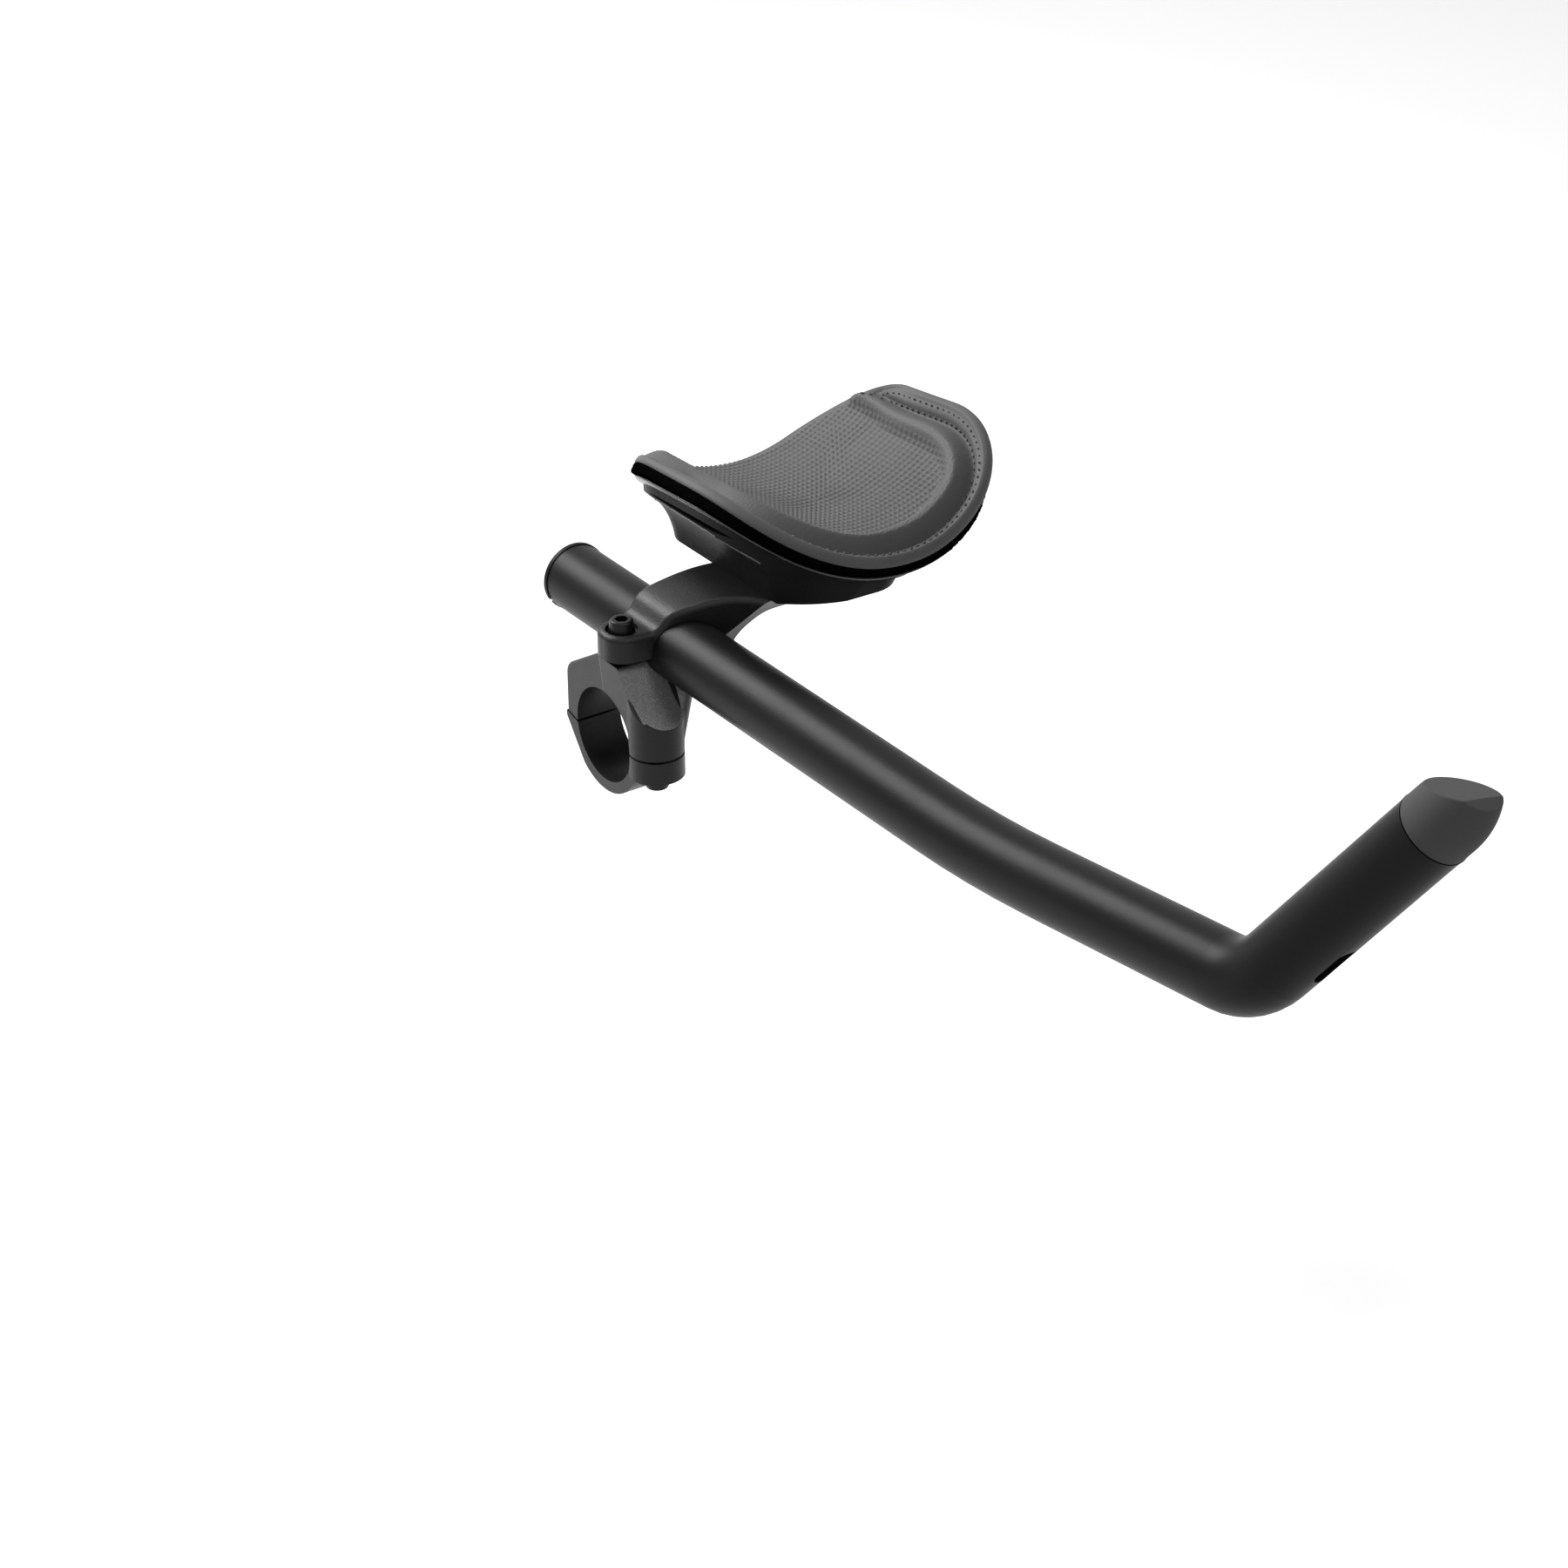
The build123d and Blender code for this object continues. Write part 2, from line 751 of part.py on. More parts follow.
# Two low-headed screws through the shell's foot into the arm
with BuildPart() as armrest_screws:
    with Locations((screw_x, screw_y, screw_seat)):
        with GridLocations(0, screw_spacing, 1, 2):
            Cylinder(screw_head / 2, screw_head_height, align=(Align.CENTER, Align.CENTER, Align.MIN))
            Cylinder(screw_diameter / 2, screw_length, align=(Align.CENTER, Align.CENTER, Align.MAX))
    with BuildSketch(Plane.XY.offset(screw_seat + screw_head_height)):
        with Locations((screw_x, screw_y)):
            with GridLocations(0, screw_spacing, 1, 2):
                RegularPolygon(screw_socket / 2, 6, major_radius=False)
    extrude(amount=-screw_socket_depth, mode=Mode.SUBTRACT)
armrest_screws.part.label = "armrest_screws"
export_step(armrest_screws.part, "parts/armrest_screws.step")


# Hook patches stuck to the shell
patch_radius = trough_radius - patch_thickness
side_patch_y = rest_width / 2 - side_patch_inset
patch_places = {
    "hook_patch_front": (rest_front - front_patch_inset, 0, end_patch_length, end_patch_width),
    "hook_patch_rear": (rear_patch_inset - rest_rear, 0, end_patch_length, end_patch_width),
    "hook_patch_inboard": (0, -side_patch_y, patch_length, patch_width),
    "hook_patch_outboard": (0, side_patch_y, patch_length, patch_width),
}
for name, place in patch_places.items():
    hook_patch = sheet(patch(*place), patch_radius, patch_thickness)
    hook_patch.label = name
    export_step(hook_patch, f"parts/{name}.step")


# Pad: a felt backing, and over it a cushion with a flange, a raised bolster and a dished middle
backing_radius = patch_radius - backing_thickness
pad_backing = sheet(rim(0, backing_radius), backing_radius, backing_thickness)
pad_backing.label = "pad_backing"
export_step(pad_backing, "parts/pad_backing.step")

flange_radius = backing_radius - flange_thickness
bolster_radius = backing_radius - cushion_thickness
flange = sheet(rim(0, flange_radius), flange_radius, flange_thickness)
bolster = sheet(rim(flange_width, bolster_radius), bolster_radius, cushion_thickness)
dish = sheet(rim(flange_width + bolster_width, bolster_radius), bolster_radius - cushion_dish, 2 * cushion_dish)
with BuildPart() as pad_cushion:
    add(flange)
    add(bolster)
    add(dish, mode=Mode.SUBTRACT)
pad_cushion.part.label = "pad_cushion"
export_step(pad_cushion.part, "parts/pad_cushion.step")
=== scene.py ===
"""Left aero handlebar extension: finishes, forearm pad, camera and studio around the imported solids."""

from math import asin, cos, pi, radians, sin

import bmesh
import bpy
import numpy as np
from mathutils import Matrix, Vector
from mathutils.bvhtree import BVHTree


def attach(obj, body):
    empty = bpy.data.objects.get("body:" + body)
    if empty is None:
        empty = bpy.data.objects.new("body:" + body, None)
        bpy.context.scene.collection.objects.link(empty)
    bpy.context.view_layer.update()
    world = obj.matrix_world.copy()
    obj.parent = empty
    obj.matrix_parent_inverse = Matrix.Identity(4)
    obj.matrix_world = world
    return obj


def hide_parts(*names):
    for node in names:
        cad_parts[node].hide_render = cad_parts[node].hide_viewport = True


bl_info = {
    "name": "Aero handlebar extension",
    "version": (1, 0, 0),
    "blender": (4, 5, 0),
    "location": "3D View > Sidebar > Extension",
    "description": "Dresses the bar clamp, tube, armrest and forearm pad of a clip-on handlebar extension",
    "category": "Object",
}

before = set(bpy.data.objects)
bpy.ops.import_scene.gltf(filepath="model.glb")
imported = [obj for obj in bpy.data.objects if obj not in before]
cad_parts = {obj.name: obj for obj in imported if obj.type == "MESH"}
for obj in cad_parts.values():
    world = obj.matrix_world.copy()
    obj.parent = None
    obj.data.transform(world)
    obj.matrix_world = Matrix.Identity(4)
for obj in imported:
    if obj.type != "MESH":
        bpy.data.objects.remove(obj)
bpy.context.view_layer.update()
BODY = "root"

# Photograph: its side in pixels, and places read in it along the painted highlight strip on the hull's inboard wall
PHOTO_SIDE = 1800
PAINTED_STRIP_PIXELS = ((752.0, 573.0), (800.0, 603.0), (840.0, 628.0), (873.0, 647.0))

# Camera that was fitted to the photograph, in metres, radians and millimetres
CAMERA_PLACE = (1.05572, -0.65421, 0.65543)
CAMERA_YAW, CAMERA_PITCH, CAMERA_ROLL = 2.545855, 0.499079, -0.00922824
CAMERA_LENS, CAMERA_SENSOR = 100.386, 36.0
CAMERA_NEAR = 0.05

# Soft lamps: name, place, aim, side and power
LAMPS = (
    ("light_back", (-0.78, -0.32, 0.78), (0.10, 0.03, 0.03), 0.66, 19.0),
    ("light_key", (0.85, 0.05, 1.15), (0.05, 0.03, 0.02), 0.36, 3.6),
    ("light_tip", (0.75, -0.65, 0.95), (0.33, 0.03, 0.08), 0.30, 1.0),
)

# Studio: strength of the world on the part and where it is seen, and the floor
WORLD_FILL, WORLD_SEEN = 0.13, 1.0
FLOOR_HALF, FLOOR_LEVEL = 3.0, -0.16
FLOOR_SHADE, FLOOR_ROUGHNESS, FLOOR_GLOW = 0.80, 0.9, 0.55

# Finishes: name, colour setting, roughness, its drift, grain scale, bump, specular, other values
FINISHES = (
    ("tube_anodised", "tube", 0.38, 0.05, 5200.0, 0.25, 0.10, {}),
    ("forging_blasted", "forging", 0.38, 0.14, 2600.0, 1.0, 0.22, {}),
    # Bracket forging with a painted highlight on its scoop
    ("forging_recessed", "forging", 0.38, 0.14, 2600.0, 1.0, 0.22, {"recess": True}),
    ("plug_rubber", "rubber", 0.50, 0.08, 3000.0, 0.6, 0.16, {}),
    ("moulded_plastic", "plastic", 0.46, 0.08, 2600.0, 0.6, 0.09, {}),
    ("moulded_gloss", "plastic", 0.26, 0.05, 2600.0, 0.2, 0.5, {}),
    # Pale strip of painted highlight along the shell's lower edge
    ("lining_edge", "lining", 0.5, 0.05, 2600.0, 0.4, 0.3, {}),
    ("oxide_steel", "steel", 0.36, 0.10, 3000.0, 0.25, 0.3, {"metal": 0.8}),
    ("fleece_black", "fleece", 0.95, 0.04, 1500.0, 1.0, 0.0, {}),
    ("pad_skin_grey", "skin", 0.54, 0.12, 1500.0, 1.0, 0.14, {"wear": 0.1, "worn": 1.5}),
)

# Painted highlight on the bracket's blasted scoop: the way its lit face turns, where it ends, and the lighter colour
# painted there
SCOOP_FACING = (0.72, 0.0, 0.69)
SCOOP_TOP, SCOOP_FADE = 0.0275, 0.0290
SCOOP_PAINTED_LIGHT = (0.34, 0.34, 0.34, 1.0)
BUMP_DISTANCE = 0.0001

# Plan of the pad: power of the nose's curve, and the skin's overhang all round and outboard
NOSE_POWER = 2.31
OVERHANG, OVERHANG_OUTBOARD = 0.0006, 0.0028

# Profile of the skin, by the distance in from its rim
DEEPEST_RING = 0.0250
GROOVE_AT, GROOVE_HALF, GROOVE_DEPTH = 0.0055, 0.0011, 0.0019
BEAD_AT, BEAD_HALF, BEAD_HEIGHT = 0.0013, 0.0005, 0.0005
ROLL_START, ROLL_TOP, ROLL_CREST, ROLL_END = 0.0058, 0.0092, 0.0102, 0.0160
ROLL_UNSEAMED = 0.0045
TREAD_START, TREAD_FULL = 0.0108, 0.0138
GRAIN_START, GRAIN_FULL, GRAIN_DEPTH = 0.0010, 0.0030, 0.00030

# Cloth pass: points around, rings to the middle, pressure, frames, and where its swell fades out
SWELL_COUNT, SWELL_STEPS = 120, 12
SWELL_PRESSURE, SWELL_FRAMES, SWELL_SMOOTHING = 4.0, 20, 8
SWELL_FADE_START, SWELL_FADE_END = 0.0280, 0.0460

# Stitches: rows by inset, half length, half width and height, and how far back each side's seam runs
STITCH_ROWS = ((0.0050, 0.0010, 0.00062, 0.0006), (0.0027, 0.0009, 0.00050, 0.0005))
STITCH_SINK = 0.0003
SEAM_END_INBOARD, SEAM_END_OUTBOARD = -0.010, -0.036

# Looped backing: loose fibres around its edge and how rough its wall is
FIBRE_COUNT, FIBRE_HALF = 9000, 0.00006
WALL_ROUGHNESS = 0.00013

# Seam ring between the tube and its front plug
TIP_AXIS = (0.5707, 0.2332, 0.7873)
TIP_CENTRE = (0.33815, 0.03405, 0.10640)
TIP_RADIUS, TIP_BEAD = 0.01103, 0.00022


class PadSettings(bpy.types.PropertyGroup):
    """Sizes of the forearm pad, in metres."""

    centre: bpy.props.FloatVectorProperty(
        name="Trough centre",
        description="Lowest line of the armrest shell under the pad's widest place",
        default=(0.0094, 0.072, 0.0548),
        subtype="XYZ",
        unit="LENGTH",
    )
    pitch: bpy.props.FloatProperty(
        name="Nose up", description="Pitch of the trough", default=radians(2.8), subtype="ANGLE"
    )
    shell_radius: bpy.props.FloatProperty(
        name="Shell radius", description="Radius of the shell's hollow", default=0.0695, unit="LENGTH"
    )
    width: bpy.props.FloatProperty(
        name="Width", description="Chord of the rim at the shell's radius", default=0.1066, unit="LENGTH"
    )
    front: bpy.props.FloatProperty(
        name="Front reach", description="From the widest place to the nose", default=0.0462, unit="LENGTH"
    )
    rear: bpy.props.FloatProperty(
        name="Rear reach", description="From the widest place to the rear edge", default=0.0526, unit="LENGTH"
    )
    corner: bpy.props.FloatProperty(
        name="Rear corner", description="Radius of the rear corners", default=0.0300, unit="LENGTH"
    )
    patch: bpy.props.FloatProperty(
        name="Hook tape", description="Thickness of the hook patches under the backing", default=0.0012, unit="LENGTH"
    )
    backing: bpy.props.FloatProperty(
        name="Backing", description="Thickness of the looped backing", default=0.0030, unit="LENGTH"
    )
    flange: bpy.props.FloatProperty(
        name="Flange", description="Thickness of the skin's stitched edge", default=0.0024, unit="LENGTH"
    )
    bolster: bpy.props.FloatProperty(
        name="Bolster", description="Height of the raised roll above the backing", default=0.0072, unit="LENGTH"
    )
    dish: bpy.props.FloatProperty(
        name="Dish", description="Height of the pad's middle above the backing", default=0.0038, unit="LENGTH"
    )
    shell_inset: bpy.props.FloatProperty(
        name="Shell inset", description="From the pad's rim in to the shell's edge", default=0.0040, unit="LENGTH"
    )
    swell: bpy.props.FloatProperty(
        name="Swell", description="Most that the cloth pass may move a point", default=0.0009, unit="LENGTH"
    )
    stitch_pitch: bpy.props.FloatProperty(
        name="Stitch pitch", description="Spacing of the stitches along the seam", default=0.0030, unit="LENGTH"
    )
    emboss_pitch: bpy.props.FloatProperty(
        name="Emboss pitch", description="Spacing of the embossed diamonds", default=0.0026, unit="LENGTH"
    )
    emboss_depth: bpy.props.FloatProperty(
        name="Emboss depth", description="Depth of the embossed diamonds", default=0.00060, unit="LENGTH"
    )


class FinishSettings(bpy.types.PropertyGroup):
    """Colours of the finishes."""

    tube: bpy.props.FloatVectorProperty(
        name="Tube", description="Anodised tube", default=(0.0060, 0.0060, 0.0063), subtype="COLOR", min=0, max=1
    )
    forging: bpy.props.FloatVectorProperty(
        name="Forging", description="Blasted and anodised clamp pieces", default=(0.0065, 0.0065, 0.0068),
        subtype="COLOR", min=0, max=1,
    )
    rubber: bpy.props.FloatVectorProperty(
        name="Front plug", description="Soft plug in the tip", default=(0.012, 0.012, 0.0125),
        subtype="COLOR", min=0, max=1,
    )
    plastic: bpy.props.FloatVectorProperty(
        name="Plastic", description="Moulded shell and rear plug", default=(0.0040, 0.0040, 0.0042),
        subtype="COLOR", min=0, max=1,
    )
    steel: bpy.props.FloatVectorProperty(
        name="Bolts", description="Black oxide steel", default=(0.016, 0.016, 0.0165), subtype="COLOR", min=0, max=1
    )
    fleece: bpy.props.FloatVectorProperty(
        name="Backing", description="Looped fleece and hook tape", default=(0.0020, 0.0020, 0.0022),
        subtype="COLOR", min=0, max=1,
    )
    skin: bpy.props.FloatVectorProperty(
        name="Pad skin", description="Embossed skin", default=(0.112, 0.112, 0.114), subtype="COLOR", min=0, max=1
    )
    # Colour of the painted highlight strip on the hull's inboard wall
    lining: bpy.props.FloatVectorProperty(
        name="Lining edge", description="Pale edge of the hull's lining", default=(0.16, 0.16, 0.16),
        subtype="COLOR", min=0, max=1,
    )


class Graph:
    """Short way to add and link nodes in one tree."""

    def __init__(self, tree):
        self.tree = tree
        self.column = 0

    def add(self, kind, **values):
        node = self.tree.nodes.new(kind)
        node.location = (self.column, 0)
        self.column += 190
        for key, value in values.items():
            setattr(node, key, value)
        return node

    def wire(self, source, target):
        self.tree.links.new(source, target)

    def feed(self, socket, value):
        """Link an output to the socket, or give the socket a value."""
        if hasattr(value, "is_output"):
            self.wire(value, socket)
        else:
            socket.default_value = value

    def set(self, node, **inputs):
        for key, value in inputs.items():
            self.feed(node.inputs[key.replace("_", " ")], value)
        return node

    def math(self, operation, a, b=0.0):
        node = self.add("ShaderNodeMath", operation=operation)
        for socket, value in zip(node.inputs, (a, b)):
            self.feed(socket, value)
        return node.outputs[0]

    def spread(self, value, low, high, to_low, to_high):
        node = self.add("ShaderNodeMapRange", interpolation_type="SMOOTHSTEP")
        for socket, number in zip(node.inputs, (value, low, high, to_low, to_high)):
            self.feed(socket, number)
        return node.outputs[0]

    def blend(self, factor, a, b, **values):
        node = self.add("ShaderNodeMix", data_type="RGBA", **values)
        for label, value in (("Factor", factor), ("A", a), ("B", b)):
            self.feed(node.inputs[label], value)
        return node.outputs["Result"]


def group(name, inputs, outputs):
    """Empty shader node group with named float, vector and colour sockets."""
    kinds = {"float": "NodeSocketFloat", "vector": "NodeSocketVector", "color": "NodeSocketColor"}
    tree = bpy.data.node_groups.new(name, "ShaderNodeTree")
    for label, kind, default in inputs:
        socket = tree.interface.new_socket(label, in_out="INPUT", socket_type=kinds[kind])
        if default is not None:
            socket.default_value = default
    for label, kind in outputs:
        tree.interface.new_socket(label, in_out="OUTPUT", socket_type=kinds[kind])
    graph = Graph(tree)
    return tree, graph, graph.add("NodeGroupInput"), graph.add("NodeGroupOutput")


def fine_grain():
    """Two sizes of noise: a fine grain for height and a slow drift for roughness and shade."""
    tree, g, entry, out = group(
        "fine_grain",
        (
            ("Vector", "vector", None),
            ("Grain Scale", "float", 4000.0),
            ("Drift Scale", "float", 40.0),
            ("Roughness", "float", 0.45),
            ("Roughness Drift", "float", 0.08),
        ),
        (("Height", "float"), ("Roughness", "float"), ("Shade", "float")),
    )
    grain = g.set(g.add("ShaderNodeTexNoise"), Vector=entry.outputs["Vector"], Scale=entry.outputs["Grain Scale"])
    g.set(grain, Detail=3.0, Roughness=0.6)
    drift = g.set(g.add("ShaderNodeTexNoise"), Vector=entry.outputs["Vector"], Scale=entry.outputs["Drift Scale"])
    g.set(drift, Detail=4.0, Roughness=0.55)
    centred = g.math("SUBTRACT", drift.outputs["Fac"], 0.5)
    swing = g.math("MULTIPLY", centred, entry.outputs["Roughness Drift"])
    speck = g.math("MULTIPLY", g.math("SUBTRACT", grain.outputs["Fac"], 0.5), entry.outputs["Roughness Drift"])
    total = g.math("ADD", g.math("ADD", entry.outputs["Roughness"], g.math("MULTIPLY", swing, 2.0)), speck)
    g.wire(grain.outputs["Fac"], out.inputs["Height"])
    g.wire(total, out.inputs["Roughness"])
    g.wire(g.spread(drift.outputs["Fac"], 0.3, 0.7, 0.92, 1.08), out.inputs["Shade"])
    return tree


def rub_wear():
    """Sparse scuffs and dust specks that shift the colour a little; their mask is given out too."""
    tree, g, entry, out = group(
        "rub_wear",
        (
            ("Vector", "vector", None),
            ("Colour", "color", (0.02, 0.02, 0.02, 1.0)),
            ("Worn Colour", "color", (0.06, 0.06, 0.06, 1.0)),
            ("Amount", "float", 0.3),
        ),
        (("Colour", "color"), ("Mask", "float")),
    )
    stretched = g.add("ShaderNodeMapping")
    g.set(stretched, Vector=entry.outputs["Vector"])
    stretched.inputs["Scale"].default_value = (60.0, 900.0, 900.0)
    scratch = g.set(g.add("ShaderNodeTexNoise"), Vector=stretched.outputs["Vector"], Scale=1.0, Detail=2.0)
    patchy = g.set(g.add("ShaderNodeTexNoise"), Vector=entry.outputs["Vector"], Scale=55.0, Detail=3.0)
    line = g.spread(scratch.outputs["Fac"], 0.66, 0.74, 0.0, 1.0)
    place = g.spread(patchy.outputs["Fac"], 0.52, 0.68, 0.0, 1.0)
    mask = g.math("MULTIPLY", g.math("MULTIPLY", line, place), entry.outputs["Amount"])
    g.wire(g.blend(mask, entry.outputs["Colour"], entry.outputs["Worn Colour"]), out.inputs["Colour"])
    g.wire(mask, out.inputs["Mask"])
    return tree


def rgba(colour):
    """Opaque colour with four values."""
    return (*tuple(colour)[:3], 1.0)


def scoop_painted_highlight(g, colour, place):
    """Painted highlight on the scoop: forward and upward facing metal low on the bracket is painted lighter, as if
    lit, speckled like glints.
    """
    facing = g.add("ShaderNodeVectorMath", operation="DOT_PRODUCT")
    g.wire(g.add("ShaderNodeTexCoord").outputs["Normal"], facing.inputs[0])
    facing.inputs[1].default_value = SCOOP_FACING
    turned = g.spread(facing.outputs["Value"], 0.80, 0.93, 0.0, 1.0)
    split = g.add("ShaderNodeSeparateXYZ")
    g.wire(place, split.inputs[0])
    low = g.spread(split.outputs["Z"], SCOOP_TOP, SCOOP_FADE, 1.0, 0.0)
    speck = g.set(g.add("ShaderNodeTexNoise"), Vector=place, Scale=2600.0, Detail=2.0)
    sparkle = g.spread(speck.outputs["Fac"], 0.35, 0.70, 0.55, 1.0)
    mask = g.math("MULTIPLY", g.math("MULTIPLY", turned, low), sparkle)
    return g.blend(mask, colour, SCOOP_PAINTED_LIGHT)


def finish_material(
    name, colour, rough, drift, grain_scale, bump, specular, metal=0.0, wear=0.25, worn=2.6, recess=False
):
    """Opaque finish: base colour with scuffs, drifting roughness and a fine grain in the normal."""
    material = bpy.data.materials.new(name)
    material.use_nodes = True
    g = Graph(material.node_tree)
    shader = material.node_tree.nodes["Principled BSDF"]
    place = g.add("ShaderNodeTexCoord").outputs["Object"]
    grain = g.add("ShaderNodeGroup", node_tree=bpy.data.node_groups["fine_grain"])
    g.set(grain, Vector=place, Grain_Scale=grain_scale, Roughness=rough, Roughness_Drift=drift)
    rub = g.add("ShaderNodeGroup", node_tree=bpy.data.node_groups["rub_wear"])
    g.set(rub, Vector=place, Colour=rgba(colour), Amount=wear)
    rub.inputs["Worn Colour"].default_value = rgba([min(1.0, c * worn) for c in colour])
    shade = g.blend(1.0, rub.outputs["Colour"], grain.outputs["Shade"], blend_type="MULTIPLY")
    # With the scoop flag set, a painted highlight lightens the bracket's scoop in the base colour
    g.wire(scoop_painted_highlight(g, shade, place) if recess else shade, shader.inputs["Base Color"])
    g.wire(grain.outputs["Roughness"], shader.inputs["Roughness"])
    relief = g.add("ShaderNodeBump")
    g.set(relief, Strength=bump, Distance=BUMP_DISTANCE, Height=grain.outputs["Height"])
    g.wire(relief.outputs["Normal"], shader.inputs["Normal"])
    shader.inputs["Specular IOR Level"].default_value = specular
    shader.inputs["Metallic"].default_value = metal
    return material


def smooth(low, high, x):
    """Eased step from 0 at low to 1 at high."""
    t = np.clip((x - low) / (high - low), 0.0, 1.0)
    return t * t * (3.0 - 2.0 * t)


def rim_outline(pad, count):
    """Closed plan of the rim at the shell's radius, evenly spaced, with inward normals."""
    half = pad.width / 2
    power = 2 / NOSE_POWER
    turn = np.linspace(-pi / 2, pi / 2, 181)
    nose = np.stack(
        [np.abs(np.cos(turn)) ** power * pad.front, np.sign(np.sin(turn)) * np.abs(np.sin(turn)) ** power * half], -1
    )
    swing = np.linspace(0, pi / 2, 31)
    r = pad.corner
    out_corner = np.stack([-pad.rear + r - r * np.sin(swing), half - r + r * np.cos(swing)], -1)
    in_corner = np.stack([-pad.rear + r - r * np.cos(swing), -half + r - r * np.sin(swing)], -1)
    loop = np.concatenate([nose, out_corner, in_corner])
    closed = np.vstack([loop, loop[:1]])
    step = np.linalg.norm(np.diff(closed, axis=0), axis=1)
    along = np.concatenate([[0], np.cumsum(step)])
    even = np.linspace(0, along[-1], count, endpoint=False)
    points = np.stack([np.interp(even, along, closed[:, k]) for k in (0, 1)], -1)
    for _ in range(3):
        points = (np.roll(points, 1, 0) + 2 * points + np.roll(points, -1, 0)) / 4
    ahead = np.roll(points, -1, 0) - np.roll(points, 1, 0)
    ahead /= np.linalg.norm(ahead, axis=1)[:, None]
    inward = np.stack([-ahead[:, 1], ahead[:, 0]], -1)
    return points, inward


def skin_outline(pad, count):
    """Rim of the skin, which hangs over the backing, most on the outboard side."""
    points, inward = rim_outline(pad, count)
    over = OVERHANG + OVERHANG_OUTBOARD * smooth(0.2, 0.9, -inward[:, 1]) * smooth(-0.050, 0.040, points[:, 0])
    return points - inward * over[:, None], inward


def tilted(pad, x, y, z):
    """Points given along the trough's own axes, in the part's frame."""
    c, s = cos(pad.pitch), sin(pad.pitch)
    cx, cy, cz = pad.centre
    return np.stack([cx + c * x - s * z, cy + y, cz + s * x + c * z], -1)


def on_trough(pad, flat, height):
    """Point on the trough: flat holds the place along and the arc across, height is above the shell."""
    radius = pad.shell_radius - height
    turn = flat[:, 1] / pad.shell_radius
    return tilted(pad, flat[:, 0], radius * np.sin(turn), pad.shell_radius - radius * np.cos(turn))


def on_middle(pad, middle, height):
    """The pad's middle point on the trough, as a ring of one point."""
    return on_trough(pad, middle[None, :], np.array([height]))


def develop(pad, points, inward, inset):
    """Rim points moved in by a distance, laid flat along the trough's arc."""
    moved = points + inward * inset
    arc = pad.shell_radius * np.arcsin(np.clip(moved[:, 1] / pad.shell_radius, -0.98, 0.98))
    return np.stack([moved[:, 0], arc], -1)


def embossed(u, v, pitch):
    """Staggered rounded diamonds, 0 to 1."""
    row = v / (pitch * 0.80)
    a = np.cos(pi * (u / pitch + row))
    b = np.cos(pi * (u / pitch - row))
    return np.clip(a * b, 0, 1) ** 0.8


def pebbles(u, v):
    """Leather pebbles about a millimetre across, from three crossing waves that bend each other."""
    a = np.sin(u * 4100 + 1.7 * np.sin(v * 1300))
    b = np.sin(v * 4700 + 1.9 * np.sin(u * 1500))
    c = np.sin((u + v) * 3300 + 1.3 * np.sin((u - v) * 900))
    return np.clip(0.5 + 0.3 * (a + b + c), 0, 1)


def ring_stack(pad, points, inward, insets, steps):
    """Flat rings from the rim to the middle, with how far in each lies."""
    rings = [(inset, develop(pad, points, inward, inset)) for inset in insets]
    deepest = insets[-1]
    last = rings[-1][1]
    middle = last.mean(axis=0)
    for share in np.linspace(0, 1, steps + 1)[1:-1]:
        rings.append((deepest * (1 + share), last * (1 - share) + middle * share))
    return rings, middle


def ring_starts(count, over, under):
    """First vertex of each ring above and below the rim, each run ended by its middle point."""
    first = over * count + 1
    upper = [ring * count for ring in range(over + 1)]
    return upper, [0] + [first + ring * count for ring in range(under + 1)]


def closed_form(count, over, under):
    """Faces of two stacks of rings that share their first ring, each ended by a point."""
    faces = []
    for stack, flip in zip(ring_starts(count, over, under), (False, True)):
        for low, high in zip(stack[:-2], stack[1:-1]):
            for k in range(count):
                n = (k + 1) % count
                quad = (low + k, low + n, high + n, high + k)
                faces.append(tuple(reversed(quad)) if flip else quad)
        start, tip = stack[-2], stack[-1]
        for k in range(count):
            wedge = (start + k, start + (k + 1) % count, tip)
            faces.append(tuple(reversed(wedge)) if flip else wedge)
    return faces


def link_mesh(name, points, faces, material):
    """New object in the scene from points and faces."""
    mesh = bpy.data.meshes.new(name)
    mesh.from_pydata([tuple(p) for p in points], [], faces)
    mesh.validate()
    mesh.update()
    if material:
        mesh.materials.append(material)
    piece = bpy.data.objects.new(name, mesh)
    bpy.context.scene.collection.objects.link(piece)
    return piece


def mesh_piece(name, points, faces, material, smooth_shade=True):
    """New piece on the part's body, with its material slot."""
    piece = link_mesh(name, points, faces, material)
    if smooth_shade:
        piece.data.polygons.foreach_set("use_smooth", [True] * len(piece.data.polygons))
    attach(piece, BODY)
    return piece


